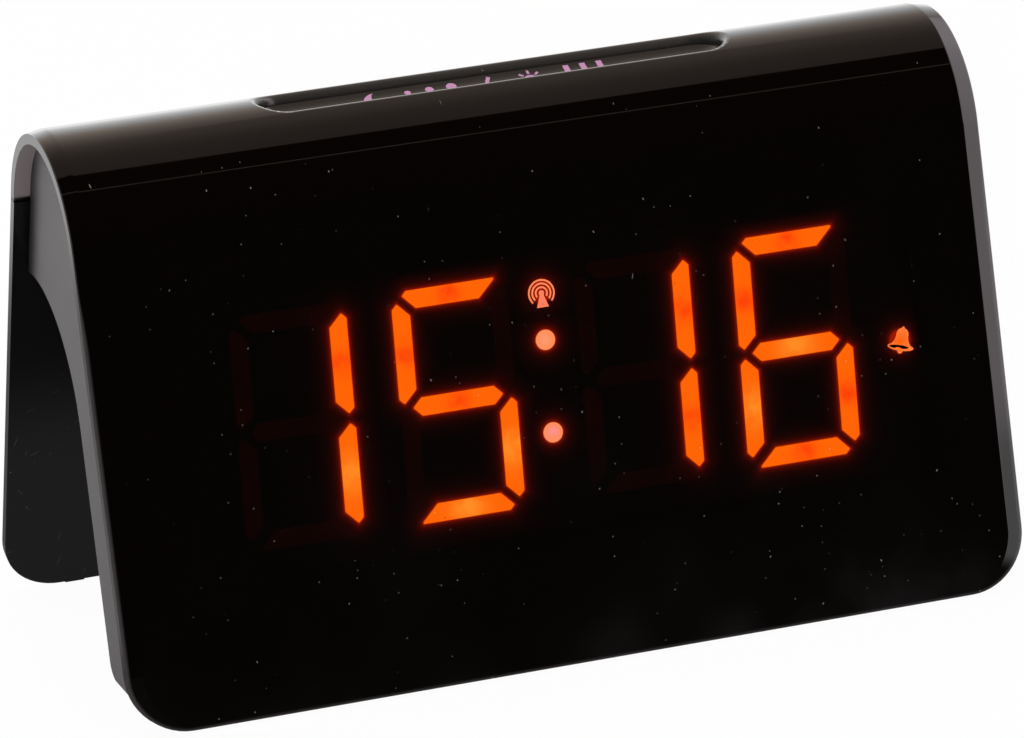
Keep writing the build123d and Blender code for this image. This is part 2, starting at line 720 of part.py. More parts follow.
def bell_face():
    """The bell with its mouth open behind the clapper."""
    mouth = Ellipse(SYMBOL_SIZE / 2 - BELL_LINE, BELL_MOUTH_HEIGHT - BELL_LINE)
    mouth -= Pos(0, -BELL_MOUTH_HEIGHT) * Circle(BELL_CLAPPER)
    return [bell_outline() - bell_place() * Pos(0, -BELL_MOUTH_DOWN) * mouth]


def radio_face():
    """A small mast with three rings of waves, open below."""
    half = SYMBOL_SIZE / 2
    foot = MAST_FOOT_WIDTH / 2
    top = MAST_TOP_WIDTH / 2
    mast = polygon((-top, 0), (top, 0), (foot, -half), (-foot, -half))
    below = polygon((0, WAVE_CUT_RISE), (-SYMBOL_SIZE, -SYMBOL_SIZE), (SYMBOL_SIZE, -SYMBOL_SIZE))
    faces = [mast + Circle(MAST_DOT)]
    for radius in WAVE_RADII:
        faces.append(Circle(radius) - Circle(radius - WAVE_WIDTH) - below)
    place = Pos(*symbol_places()[1])
    return [place * face for face in faces]


def behind_cover(face, start, end):
    """A display shape, as deep behind the frame's front as asked."""
    plane = front_plane(FRAME_FRONT, DISPLAY_DOWN)
    return plane * Pos(0, 0, -end) * extrude(face, end - start)


def diffusers(faces):
    return joined([behind_cover(face, 0, SEGMENT_THICKNESS) for face in faces])


def make_display_frame():
    height = DIGIT_HEIGHT + 2 * FRAME_MARGIN
    plane = front_plane(FRAME_FRONT, DISPLAY_DOWN)
    frame = block(plane, 2 * FRAME_HALF_WIDTH, height, -FRAME_THICKNESS, 0)
    bars = digit_faces(True) + digit_faces(False) + dot_faces()
    symbols = [bell_outline()] + radio_face()
    wells = [Pos(x, y) * Circle(SYMBOL_WELL_RADIUS) for x, y in symbol_places()]
    windows = [behind_cover(face, 0, FRAME_THICKNESS) for face in bars]
    windows += [behind_cover(face, 0, SEGMENT_THICKNESS) for face in symbols]
    windows += [behind_cover(well, SEGMENT_THICKNESS, FRAME_THICKNESS) for well in wells]
    return frame - windows


def make_led_chips():
    plane = front_plane(BOARD_FRONT, DISPLAY_DOWN)
    bars = digit_faces(True) + digit_faces(False) + dot_faces()
    places = [(face.center().X, face.center().Y) for face in bars] + symbol_places()
    chips = []
    for x, y in places:
        chip = Box(LED_LENGTH, LED_WIDTH, LED_HEIGHT, align=ON_PLANE)
        chips.append(plane * Pos(x, y, 0) * chip)
    return joined(chips)


# Main board
def board_screw_places():
    heights = (BOARD_TOP + BOARD_SCREW_FROM_TOP, BOARD_BOTTOM - BOARD_SCREW_FROM_BOTTOM)
    return [(x, down) for x in (-BOARD_SCREW_X, BOARD_SCREW_X) for down in heights]


def make_main_board():
    middle = (BOARD_TOP + BOARD_BOTTOM) / 2
    board = block(
        front_plane(BOARD_BACK, middle), 2 * BOARD_HALF_WIDTH, BOARD_BOTTOM - BOARD_TOP, 0, BOARD_THICKNESS
    )
    for x, down in board_screw_places():
        board -= screw_hole(front_plane(BOARD_FRONT, down, x), SCREW_LENGTH)
    return board


def on_board_back(x, down):
    return slab_plane(BOARD_BACK, down, x)


def make_buzzer():
    plane = on_board_back(BUZZER_X, BUZZER_DOWN)
    body = rod(plane, BUZZER_RADIUS, 0, BUZZER_HEIGHT)
    return body - rod(plane, SOUND_HOLE_RADIUS, BUZZER_HEIGHT / 2, BUZZER_HEIGHT)


def make_power_inlet():
    plane = on_board_back(INLET_X, INLET_DOWN)
    reach = SLAB_DEPTH - INLET_REAR_SET - BOARD_BACK
    body = block(plane, INLET_LENGTH, INLET_WIDTH, 0, reach)
    hollow_length = INLET_LENGTH - 2 * INLET_WALL
    hollow_width = INLET_WIDTH - 2 * INLET_WALL
    body -= block(plane, hollow_length, hollow_width, INLET_BACK, reach)
    return body + block(plane, TONGUE_LENGTH, TONGUE_THICKNESS, INLET_BACK, reach - INLET_BACK)


# Coin cell, its holder and the twist cap, measured inwards from the back of the slab
CELL_START = CAP_PLUG_DEPTH + CELL_CLEARANCE
CELL_END = CELL_START + CELL_HEIGHT
CONTACT_END = CELL_END + CONTACT_THICKNESS
HOLDER_END = CONTACT_END + HOLDER_FLOOR


def make_cell_holder():
    plane = cell_plane()
    tab_radius = CAP_RADIUS + CAP_TAB_REACH + CAP_CLEARANCE
    holder = rod(plane, tab_radius + HOLDER_WALL, -HOLDER_END, -HOUSING_WALL)
    holder -= rod(plane, tab_radius, -CELL_START, -HOUSING_WALL)
    return holder - rod(plane, CELL_RADIUS + CELL_CLEARANCE, -CONTACT_END, -HOUSING_WALL)


def make_battery_cap():
    plane = cell_plane()
    cap = rod(plane, CAP_RADIUS, -CAP_PLATE, 0) + rod(plane, CAP_PLUG_RADIUS, -CAP_PLUG_DEPTH, -CAP_PLATE)
    tab_radius = CAP_RADIUS + CAP_TAB_REACH
    tabs = block(plane, 2 * tab_radius, CAP_TAB_WIDTH, -CAP_PLUG_DEPTH, CAP_TAB_THICKNESS - CAP_PLUG_DEPTH)
    tabs = tabs & rod(plane, tab_radius, -CAP_PLUG_DEPTH, 0)
    return cap + tabs - pill(plane, COIN_SLOT_LENGTH, COIN_SLOT_WIDTH, -COIN_SLOT_DEPTH, 0)


# Snooze key and what it presses
def key_flange_radius():
    return ARCH_RADIUS - COVER_WALL - FLANGE_GAP


def key_boss_end():
    """Height of the lower end of the boss that pushes the snooze switch."""
    return HEIGHT - KEY_BOSS_DROP


def snooze_switch_top():
    return key_boss_end() - PLUNGER_SHOW


def snooze_board_height():
    """Height of the snooze board's underside."""
    return snooze_switch_top() - SWITCH_HEIGHT - SNOOZE_BOARD_THICKNESS


def snooze_screw_plane(x):
    return upright_plane(x, AXIS_Y, snooze_board_height() + SNOOZE_BOARD_THICKNESS)


def arch_bar(radius, half_length):
    return Pos(0, AXIS_Y, AXIS_Z) * Rot(0, 90, 0) * Cylinder(radius, 2 * half_length, align=MIDDLE)


def dish_cutter():
    """A long bead that hollows the top of the key to an even rim."""
    half = KEY_WIDTH / 2 - KEY_GAP
    sag = DISH_DEPTH - KEY_RIM_DEPTH
    radius = (half * half + sag * sag) / (2 * sag)
    middle = Pos(0, AXIS_Y, HEIGHT - DISH_DEPTH + radius)
    half_length = (KEY_LENGTH - KEY_WIDTH) / 2
    cutter = middle * Rot(0, 90, 0) * Cylinder(radius, 2 * half_length, align=MIDDLE)
    for x in (-half_length, half_length):
        cutter += middle * Pos(x, 0, 0) * Sphere(radius)
    return cutter


def make_snooze_key():
    plane = upright_plane(0, AXIS_Y, AXIS_Z)
    radius = key_flange_radius()
    key = pill(plane, KEY_LENGTH - 2 * KEY_GAP, KEY_WIDTH - 2 * KEY_GAP, 0, ARCH_RADIUS)
    flange = pill(plane, KEY_LENGTH + 2 * FLANGE_REACH, KEY_WIDTH + 2 * FLANGE_REACH, 0, ARCH_RADIUS)
    key += flange & arch_bar(radius, WIDTH / 2)
    key -= arch_bar(radius - FLANGE_THICKNESS, WIDTH)
    key -= dish_cutter()
    boss_plane = upright_plane(0, AXIS_Y, 0)
    key += rod(boss_plane, KEY_BOSS_RADIUS, key_boss_end(), AXIS_Z + radius - FLANGE_THICKNESS / 2)
    pin_end = snooze_board_height() - GUIDE_REACH
    for x in (-GUIDE_X, GUIDE_X):
        pin_plane = upright_plane(x, AXIS_Y, 0)
        key += rod(pin_plane, GUIDE_RADIUS, pin_end, AXIS_Z + radius - FLANGE_THICKNESS / 2)
    return key


def make_snooze_board():
    plane = upright_plane(0, AXIS_Y, snooze_board_height())
    board = block(plane, SNOOZE_BOARD_LENGTH, SNOOZE_BOARD_WIDTH, 0, SNOOZE_BOARD_THICKNESS)
    for x in (-GUIDE_X, GUIDE_X):
        guide = upright_plane(x, AXIS_Y, snooze_board_height())
        board -= rod(guide, GUIDE_RADIUS + PLUNGER_CLEARANCE, 0, SNOOZE_BOARD_THICKNESS)
    for x in (-WEB_X, WEB_X):
        board -= screw_hole(snooze_screw_plane(x), SMALL_SCREW_LENGTH)
    return board


def switch_body(plane):
    """A push switch that stands below the plane of its top, bored for its plunger."""
    body = block(plane, SWITCH_SIZE, SWITCH_SIZE, -SWITCH_HEIGHT, 0)
    return body - rod(plane, PLUNGER_RADIUS + PLUNGER_CLEARANCE, SWITCH_FLOOR - SWITCH_HEIGHT, 0)


def plunger(plane):
    return rod(plane, PLUNGER_RADIUS, -PLUNGER_INSERT, PLUNGER_SHOW)


def snooze_switch_plane():
    return upright_plane(0, AXIS_Y, snooze_switch_top())


# Rear buttons
def button_places():
    first = -BUTTON_PITCH * (len(BUTTON_NAMES) - 1) / 2
    return [first + BUTTON_PITCH * index for index in range(len(BUTTON_NAMES))]


def button_planes():
    return [rear_plane(0, BUTTON_DOWN, x) for x in button_places()]


def button_flange_end():
    return LEG_WALL + BUTTON_GAP + BUTTON_FLANGE


def button_switch_depth():
    return button_flange_end() + PLUNGER_SHOW


def button_screw_plane(x):
    y, z = rear_point(BUTTON_BOARD_DEPTH + BUTTON_BOARD_THICKNESS, BUTTON_DOWN)
    return Plane((x, y, z), x_dir=(1, 0, 0), z_dir=(0, -cos(REAR), -sin(REAR)))


def make_button(plane):
    cap = pill(plane, BUTTON_LENGTH, BUTTON_WIDTH, -button_flange_end(), BUTTON_PROUD)
    cap = fillet(cap.faces().sort_by(Axis(plane.origin, plane.z_dir))[-1].edges(), BUTTON_ROUND)
    reach = 2 * BUTTON_FLANGE_REACH
    return cap + pill(
        plane, BUTTON_LENGTH + reach, BUTTON_WIDTH + reach, -button_flange_end(), -LEG_WALL - BUTTON_GAP
    )


def make_button_board():
    plane = rear_plane(BUTTON_BOARD_DEPTH, BUTTON_DOWN)
    board = block(plane, 2 * BUTTON_BOARD_HALF_LENGTH, BUTTON_BOARD_WIDTH, -BUTTON_BOARD_THICKNESS, 0)
    for x in (-BUTTON_POST_X, BUTTON_POST_X):
        board -= screw_hole(button_screw_plane(x), SMALL_SCREW_LENGTH)
    return board


# Antenna
def rod_plane():
    """Looks along X, through the middle of the antenna's core."""
    return Plane((0, AXIS_Y + ROD_BACK, HEIGHT - ROD_DROP), x_dir=(0, 1, 0), z_dir=(1, 0, 0))


def make_antenna_coil():
    plane = rod_plane()
    start = COIL_X - COIL_LENGTH / 2
    end = COIL_X + COIL_LENGTH / 2
    return rod(plane, COIL_RADIUS, start, end) - rod(plane, ROD_RADIUS, start, end)


def make_parts():
    cell = cell_plane()
    chip = on_board_back(0, CHIP_DOWN)
    quartz = on_board_back(0, QUARTZ_DOWN)
    parts = {
        "front_cover": make_front_cover(),
        "housing": make_housing(),
        "rear_leg": make_rear_leg(),
        "cover_screws": joined(both_sides(lambda x: screw(cover_screw_plane(x), SCREW_LENGTH), COVER_LUG_X)),
        "leg_screws": joined(both_sides(lambda x: screw(leg_screw_plane(x), SCREW_LENGTH), LEG_LUG_X)),
        "rear_feet": joined(both_sides(rear_foot, REAR_FOOT_X)),
        "front_feet": joined(both_sides(front_foot, FRONT_FOOT_X)),
        "display_frame": make_display_frame(),
        "segments_lit": diffusers(digit_faces(True)),
        "segments_unlit": diffusers(digit_faces(False)),
        "colon_dots": diffusers(dot_faces()),
        "bell_symbol": diffusers(bell_face()),
        "radio_symbol": diffusers(radio_face()),
        "led_chips": make_led_chips(),
        "main_board": make_main_board(),
        "main_board_screws": joined(
            [screw(front_plane(BOARD_FRONT, down, x), SCREW_LENGTH) for x, down in board_screw_places()]
        ),
        "controller_chip": block(chip, CHIP_SIZE, CHIP_SIZE, 0, CHIP_HEIGHT),
        "quartz_can": pill(quartz, QUARTZ_LENGTH, QUARTZ_WIDTH, 0, QUARTZ_HEIGHT),
        "buzzer": make_buzzer(),
        "power_inlet": make_power_inlet(),
        "coin_cell": rod(cell, CELL_RADIUS, -CELL_END, -CELL_START),
        "cell_holder": make_cell_holder(),
        "cell_contact": block(cell, CONTACT_LENGTH, CONTACT_WIDTH, -CONTACT_END, -CELL_END),
        "battery_cap": make_battery_cap(),
        "snooze_key": make_snooze_key(),
        "snooze_plunger": plunger(snooze_switch_plane()),
        "snooze_switch": switch_body(snooze_switch_plane()),
        "snooze_board": make_snooze_board(),
        "snooze_board_screws": joined(
            both_sides(lambda x: screw(snooze_screw_plane(x), SMALL_SCREW_LENGTH), WEB_X)
        ),
        "button_board": make_button_board(),
        "button_board_screws": joined(
            both_sides(lambda x: screw(button_screw_plane(x), SMALL_SCREW_LENGTH), BUTTON_POST_X)
        ),
        "ferrite_rod": rod(rod_plane(), ROD_RADIUS, -ROD_LENGTH / 2, ROD_LENGTH / 2),
        "antenna_coil": make_antenna_coil(),
    }
    switches = []
    for name, x in zip(BUTTON_NAMES, button_places()):
        parts[f"{name}_button"] = make_button(rear_plane(0, BUTTON_DOWN, x))
        switch_top = rear_plane(button_switch_depth(), BUTTON_DOWN, x)
        parts[f"{name}_plunger"] = plunger(switch_top)
        switches.append(switch_body(switch_top))
    parts["rear_switches"] = joined(switches)
    return parts


os.makedirs("parts", exist_ok=True)
for node, solid in make_parts().items():
    export_step(solid, f"parts/{node}.step")
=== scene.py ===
import json
from math import cos, radians, sin

import bmesh
import bpy
from mathutils import Matrix, Vector


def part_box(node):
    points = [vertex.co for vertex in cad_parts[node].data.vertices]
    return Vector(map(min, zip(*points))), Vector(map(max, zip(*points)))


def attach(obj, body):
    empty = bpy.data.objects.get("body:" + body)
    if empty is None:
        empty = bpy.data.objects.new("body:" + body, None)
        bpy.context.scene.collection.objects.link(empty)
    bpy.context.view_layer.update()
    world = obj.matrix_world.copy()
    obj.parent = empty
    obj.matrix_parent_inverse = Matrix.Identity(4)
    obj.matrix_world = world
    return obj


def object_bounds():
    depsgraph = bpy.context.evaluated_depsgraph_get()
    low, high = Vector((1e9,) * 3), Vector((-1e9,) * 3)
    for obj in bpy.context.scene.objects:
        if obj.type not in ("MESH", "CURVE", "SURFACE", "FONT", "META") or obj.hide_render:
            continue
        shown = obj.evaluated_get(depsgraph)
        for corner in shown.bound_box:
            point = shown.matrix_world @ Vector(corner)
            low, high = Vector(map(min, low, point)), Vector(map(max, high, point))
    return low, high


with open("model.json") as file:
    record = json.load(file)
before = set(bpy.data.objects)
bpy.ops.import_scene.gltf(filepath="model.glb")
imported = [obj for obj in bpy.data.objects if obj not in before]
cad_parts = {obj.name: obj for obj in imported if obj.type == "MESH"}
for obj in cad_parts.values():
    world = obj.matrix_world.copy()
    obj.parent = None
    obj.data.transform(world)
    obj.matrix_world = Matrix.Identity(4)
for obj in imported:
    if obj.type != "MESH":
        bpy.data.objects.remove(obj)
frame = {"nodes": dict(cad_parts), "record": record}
cad_low, cad_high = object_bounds()
cover_low, cover_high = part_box("front_cover")
display_low, display_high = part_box("display_frame")
key_low, key_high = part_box("snooze_key")
housing_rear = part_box("housing")[1].y

MM = 0.001

# Camera, as the photograph was taken
IMAGE_WIDTH = 1024
SENSOR_WIDTH = 36.0
FOCAL_PIXELS = 6607.35
CAMERA_AZIMUTH = radians(-18.258)
CAMERA_ELEVATION = radians(17.796)
CAMERA_ROLL = radians(-3.332)
CAMERA_DISTANCE = 988.15 * MM
AIM_RIGHT = 0.427 * MM
AIM_HEIGHT = 37.207 * MM

# The clock's own form, as the frame has it
ARCH_RADIUS = 17.6 * MM
COVER_WALL = 2.0 * MM
FRONT_LEAN = radians(10.9)
REAR_LEAN = radians(21.0)
CORNER_RADIUS = 9.0 * MM
BEVEL_WIDTH = 2.4 * MM
HOOD_DROP = 26.4 * MM
OPENING_HALF_LENGTH = 39.0 * MM
OPENING_HALF_WIDTH = 6.0 * MM
DISH_RADIUS = 6.98 * MM
DISH_DEPTH = 3.0 * MM
DOT_RADIUS = 1.5 * MM
ARCH_INSIDE = ARCH_RADIUS - COVER_WALL
ARCH_AXIS_Y = (key_low.y + key_high.y) / 2
ARCH_AXIS_Z = cad_high.z - ARCH_RADIUS
FRONT_TOP_Y = ARCH_AXIS_Y - ARCH_RADIUS * cos(FRONT_LEAN)
FRONT_TOP_Z = ARCH_AXIS_Z + ARCH_RADIUS * sin(FRONT_LEAN)
HOOD_LOW_Z = cad_high.z - HOOD_DROP
DISH_FLOOR = cad_high.z - DISH_DEPTH
INWARD = Vector((0, cos(FRONT_LEAN), -sin(FRONT_LEAN)))


def linear(red, green, blue, alpha=1.0):
    """A screen colour, 0 to 255, as the scene-linear colour that the shaders take."""
    parts = [value / 255 for value in (red, green, blue)]
    parts = [p / 12.92 if p <= 0.04045 else ((p + 0.055) / 1.055) ** 2.4 for p in parts]
    return (*parts, alpha)


# Colours
BLACK = (0, 0, 0, 1)
WHITE = (1, 1, 1, 1)
COVER_BLACK = (0.0018, 0.0007, 0.0004, 1.0)
# Painted highlight on the cover's ends and lower edge
EDGE_HIGHLIGHT = (0.065, 0.056, 0.058, 1.0)
OPENING_GREY = (0.03, 0.026, 0.022, 1.0)
KEY_BLACK = (0.018, 0.015, 0.013, 1.0)
ARCH_LINING = linear(158, 146, 148)
DUST = linear(150, 146, 142)
DISPLAY_GRAIN = linear(20, 14, 14)
# Copper winding: painted sheen on each turn's crest, painted shade in the grooves
COPPER_GROOVE_SHADE = linear(96, 44, 20)
COPPER_CREST_SHEEN = linear(196, 108, 56)
INK_LILAC = linear(206, 146, 190)
FLOOR_GREY = linear(244, 244, 244)
GLOW_RED = (1.0, 0.025, 0.0, 1.0)
ROOM_TINT = (1.0, 0.82, 0.7, 1.0)
PANEL_TINT = (1.0, 0.9, 0.95, 1.0)

# Levels of cloudy noise that count as its lowest and its highest
NOISE_START = 0.2
NOISE_END = 0.8

# Dust and scratches; a stroke is its spacing, radius, stretch and turn
FACE_SLOPE = 0.5
SPECK_LEAST = 0.4
SPECK_EDGE = 0.4
SPECK_CLUSTER = 25.0 * MM
SHARE_EDGE = 0.01
DUST_SHARE = 0.2
DUST_STROKES = (
    (3.8 * MM, 0.09 * MM, 2.2, 0.8),
    (4.4 * MM, 0.08 * MM, 2.8, 2.1),
    (9.0 * MM, 0.07 * MM, 9.0, 1.3),
)
DUST_ROUGH = 0.6
SCRATCH_TURNS = (0.4, 1.3, 2.2)
SCRATCH_DEPTH = 0.45
SCRATCH_ROUGH = 0.4
LEG_WAVE = 0.02 * MM
LEG_ROUGH_SPREAD = 0.04

# Cover: where its lining, its display window, its key opening and its painted edge highlights begin and fade
LINING_SKIN = 0.05 * MM
LINING_FADE = 0.07 * MM
LINING_LOW = -4.0 * MM
LINING_LOW_FADE = 2.0 * MM
LINING_ROUGH = 0.5
WINDOW_ALPHA = 0.9
WINDOW_FADE = 2.0 * MM
INNER_FACE_START = 0.4 * COVER_WALL
INNER_FACE_FADE = 0.2 * COVER_WALL
OPENING_LIP = 0.3 * MM
OPENING_LIP_FADE = 0.2 * MM
OPENING_FADE = 0.5 * MM
OPENING_TOP_FADE = 1.0 * MM
OPENING_WALL_FADE = 0.1 * MM
OPENING_ROUGH = 0.3
DUST_END_FADE = 0.2 * MM
END_LIGHT = 0.75 * MM
ARCH_END_LIGHT = 0.3 * MM
LOWER_LIGHT = 1.0 * MM
EDGE_FULL = 0.2
SHOULDER_LOW = FRONT_TOP_Z - 14.0 * MM
SHOULDER_HIGH = FRONT_TOP_Z - 4.0 * MM

# Mouldings and metal
GRAIN = 0.25 * MM
GRAIN_ROUGH_SPREAD = 0.05
# Painted shade on the housing towards its hood's rear edge
HOOD_SHADE = 0.76
HOOD_SHADE_DEPTH = 6.5 * MM
METAL_ROUGH_SPREAD = 0.06
WINDING_PITCH = 0.9 * MM
WINDING_DEPTH = 0.1 * MM

# Display light
LIT_NODES = ("segments_lit", "colon_dots", "bell_symbol", "radio_symbol")
LIT_STRENGTH = 10.0
# Painted red glow on the display's black faces: a faint one on the unlit segments, and one round the lit
# bars
GHOST = 0.03
GLOW_STRENGTH = 4.0
NEAR_GLOW = 2.8 / GLOW_STRENGTH
NEAR_REACH = 0.24 * MM
FAR_GLOW = 0.37 / GLOW_STRENGTH
FAR_REACH = 1.0 * MM
MERGE_DISTANCE = 0.001 * MM
WALL_LEAST_AREA = 0.7 * MM * MM
WALL_UPRIGHT = 0.1

# Marks printed on the snooze key: a moon, growing dots, a stroke, a sun and bars
INK_THICKNESS = 0.03 * MM
INK_GRAIN = 0.004 * MM
INK_STEP = 0.4 * MM
INK_CUTS = range(-4, 12)
DISC_SEGMENTS = 32
MARK_MIDDLE = 1.3 * MM
MOON_X = -17.5 * MM
MOON_RADIUS = 2.0 * MM
MOON_SEGMENTS = 30
MOON_HOLLOW = 0.35
DOTS_X = -12.5 * MM
DOTS_PITCH = 3.4 * MM
DOTS_RISE = 1.0 * MM
DOTS_RADII = (0.5 * MM, 0.65 * MM, 0.8 * MM)
STROKE_X = -0.5 * MM
STROKE_WIDTH = 0.6 * MM
STROKE_HEIGHT = 4.2 * MM
STROKE_TURN = radians(-24)
SUN_X = 6.5 * MM
SUN_RADIUS = 1.0 * MM
SUN_RAYS = 8
RAY_PLACE = 1.7 * MM
RAY_WIDTH = 0.4 * MM
RAY_LENGTH = 0.8 * MM
BARS = 3
BARS_X = 12.5 * MM
BARS_PITCH = 2.6 * MM
BARS_RISE = 0.1 * MM
BAR_WIDTH = 0.9 * MM
BAR_HEIGHT = 3.9 * MM

# Floor: white to the eye; how bright mirrors see it is set by place, after the photograph's reflections
FLOOR_SIZE = 6.0
FLOOR_ROUGH = 0.9
FLOOR_WHITE = 0.97
FLOOR_FRONT = 0.05
FLOOR_UNDER = 0.23
FLOOR_FRONT_Y = -8 * MM
FLOOR_UNDER_Y = 14 * MM
FLOOR_DARK_Y = 150 * MM
FLOOR_WHITE_Y = 260 * MM
FLOOR_RIGHT = 1.3
FLOOR_RIGHT_X = 75 * MM
FLOOR_RIGHT_FADE = 20 * MM

# World and lamps: the light on matt faces, and what mirrors see in each direction
WORLD_LIGHT = 0.5
FRONT_DARK = 0.014
CEILING_EDGE = -0.07
CEILING_FADE = 0.02
OVERHEAD_WHITE = 0.31
BACK_WHITE = 1.62
WARM_LOW = 0.35
WARM_FADE = 0.25
STREAK_PLACE = -0.36
STREAK_HALF = 0.004
STREAK_WHITE = 0.5
PANEL_INNER = 0.45
PANEL_OUTER = 0.75
PANEL_FADE = 0.1
PANEL_REAR = 0.66
PANEL_REAR_FADE = 0.08
PANEL_DIM = 2.0
PANEL_BRIGHT = 2.8
PANEL_DIM_UP = -0.4
PANEL_BRIGHT_UP = 0.6
PANEL_FAR_SHARE = 0.55
PANEL_NEAR_ALONG = 0.1
PANEL_FAR_ALONG = 0.7
LAMP_AIM = Vector((0, 0, 0.04))


class Number:
    """A number socket; arithmetic on it adds Math nodes to its tree."""

    def __init__(self, finish, socket):
        self.finish = finish
        self.socket = socket

    def math(self, operation, *values):
        made = self.finish.node("ShaderNodeMath", {"operation": operation}, dict(enumerate(values)))
        return Number(self.finish, made.outputs[0])

    def __add__(self, other):
        return self.math("ADD", self, other)

    __radd__ = __add__

    def __sub__(self, other):
        return self.math("SUBTRACT", self, other)

    def __rsub__(self, other):
        return self.math("SUBTRACT", other, self)

    def __mul__(self, other):
        return self.math("MULTIPLY", self, other)

    __rmul__ = __mul__

    def __truediv__(self, other):
        return self.math("DIVIDE", self, other)

    def __abs__(self):
        return self.math("ABSOLUTE", self)

    def root(self):
        return self.math("SQRT", self)

    def fall(self, reach):
        """Falls from 1 at zero to about a third at this reach."""
        return self.math("EXPONENT", self * (-1 / reach))

    def lower(self, other):
        return self.math("MINIMUM", self, other)

    def upper(self, other):
        return self.math("MAXIMUM", self, other)

    def ramp(self, start, end, low=0.0, high=1.0):
        """Goes smoothly from low to high as the number goes from start to end."""
        values = {"Value": self, "From Min": start, "From Max": end, "To Min": low, "To Max": high}
        made = self.finish.node("ShaderNodeMapRange", {"interpolation_type": "SMOOTHSTEP"}, values)
        return Number(self.finish, made.outputs[0])

    def above(self, limit, fade):
        """0 up to the limit, and 1 from one fade past it."""
        return self.ramp(limit, limit + fade)

    def below(self, limit, fade):
        """1 up to the limit, and 0 from one fade past it."""
        return self.ramp(limit, limit + fade, 1.0, 0.0)


class Finish:
    """A node tree with one method for any node, and short names for the usual ones."""

    def __init__(self, tree):
        self.tree = tree

    def node(self, kind, settings=None, inputs=None):
        made = self.tree.nodes.new(kind)
        for name, value in (settings or {}).items():
            setattr(made, name, value)
        for name, value in (inputs or {}).items():
            self.plug(made.inputs[name], value)
        return made

    def plug(self, socket, value):
        if isinstance(value, Number):
            self.tree.links.new(value.socket, socket)
        elif isinstance(value, bpy.types.NodeSocket):
            self.tree.links.new(value, socket)
        else:
            socket.default_value = value

    def coordinates(self, kind="Object"):
        return self.node("ShaderNodeTexCoord").outputs[kind]

    def parts(self, vector):
        """The three numbers of a vector."""
        return [Number(self, part) for part in self.node("ShaderNodeSeparateXYZ", None, {0: vector}).outputs]

    def place(self):
        """The surface point's x, y and z in metres."""
        return self.parts(self.coordinates())

    def measure(self, operation, first, second):
        """A number from two vectors, such as their distance."""
        made = self.node("ShaderNodeVectorMath", {"operation": operation}, {0: first, 1: second})
        return Number(self, made.outputs["Value"])

    def distance(self, places):
        """How far the surface point is from the nearest of these places."""
        coordinates = self.coordinates()
        nearest = None
        for place in places:
            away = self.measure("DISTANCE", coordinates, place)
            nearest = nearest.lower(away) if nearest else away
        return nearest

    def outside(self, outlines):
        """How far the surface point is outside the nearest of these outlines, each of straight walls."""
        coordinates = self.coordinates()
        nearest = None
        for outline in outlines:
            farthest = self.distance([outline["middle"]]) - outline["tip"]
            for outward, reach in outline["walls"]:
                farthest = farthest.upper(self.measure("DOT_PRODUCT", coordinates, outward) - reach)
            nearest = nearest.lower(farthest) if nearest else farthest
        return nearest

    def noise(self, size, detail=2.0):
        """Cloudy noise, from 0 to 1, with features of about this size in metres."""
        values = {"Vector": self.coordinates(), "Scale": 1 / size, "Detail": detail}
        return Number(self, self.node("ShaderNodeTexNoise", None, values).outputs["Fac"])

    def uneven(self, size, low, high, start=NOISE_START, end=NOISE_END, detail=2.0):
        """From low to high as cloudy noise of this size goes from start to end."""
        return self.noise(size, detail).ramp(start, end, low, high)

    def specks(self, spacing, radius, share, stretch=1.0, turn=0.0):
        """1 on small specks scattered over a face, of which only this share of the places is used."""
        x, y, z = self.place()
        rise = z - FACE_SLOPE * y
        along = x * cos(turn) + rise * sin(turn)
        across = rise * cos(turn) - x * sin(turn)
        flat = self.node("ShaderNodeCombineXYZ", None, {0: along / stretch, 1: across}).outputs[0]
        values = {"Vector": flat, "Scale": 1 / spacing}
        cells = self.node("ShaderNodeTexVoronoi", {"voronoi_dimensions": "2D"}, values).outputs
        draw = self.node("ShaderNodeSeparateColor", None, {0: cells["Color"]}).outputs
        largest = radius / spacing
        size = Number(self, draw[1]).ramp(0.0, 1.0, SPECK_LEAST * largest, largest)
        near = (size - Number(self, cells["Distance"])).ramp(0.0, SPECK_EDGE * largest)
        drawn = Number(self, draw[0]) + self.uneven(SPECK_CLUSTER, -share, share, start=0.3, end=0.7)
        return near * drawn.above(1 - share, SHARE_EDGE)

    def blend(self, factor, first, second):
        """A colour between two colours."""
        made = self.node("ShaderNodeMix", {"data_type": "RGBA"})
        colours = [s for s in made.inputs if s.type == "RGBA"]
        self.plug(made.inputs["Factor"], factor)
        self.plug(colours[0], first)
        self.plug(colours[1], second)
        return [s for s in made.outputs if s.type == "RGBA"][0]

    def bump(self, height, distance):
        values = {"Height": height, "Distance": distance, "Strength": 1.0}
        return self.node("ShaderNodeBump", None, values).outputs["Normal"]


def new_finish(name, **surface):
    """A material with one Principled shader, whose sockets are named with _ for spaces."""
    material = bpy.data.materials.new(name)
    material.use_nodes = True
    finish = Finish(material.node_tree)
    finish.material = material
    finish.shader = material.node_tree.nodes["Principled BSDF"]
    dress(finish, **surface)
    return finish


def dress(finish, **surface):
    for name, value in surface.items():
        finish.plug(finish.shader.inputs[name.replace("_", " ")], value)


# Cover, key and leg
def dusty(finish):
    """Settled dust: round and longer specks, and a few fine hairs."""
    dust = finish.specks(spacing=3.0 * MM, radius=0.1 * MM, share=0.24)
    for spacing, radius, stretch, turn in DUST_STROKES:
        dust = dust.upper(finish.specks(spacing, radius, DUST_SHARE, stretch, turn))
    return dust * finish.uneven(size=1.2 * MM, low=0.15, high=1.0, start=0.25, end=0.65)


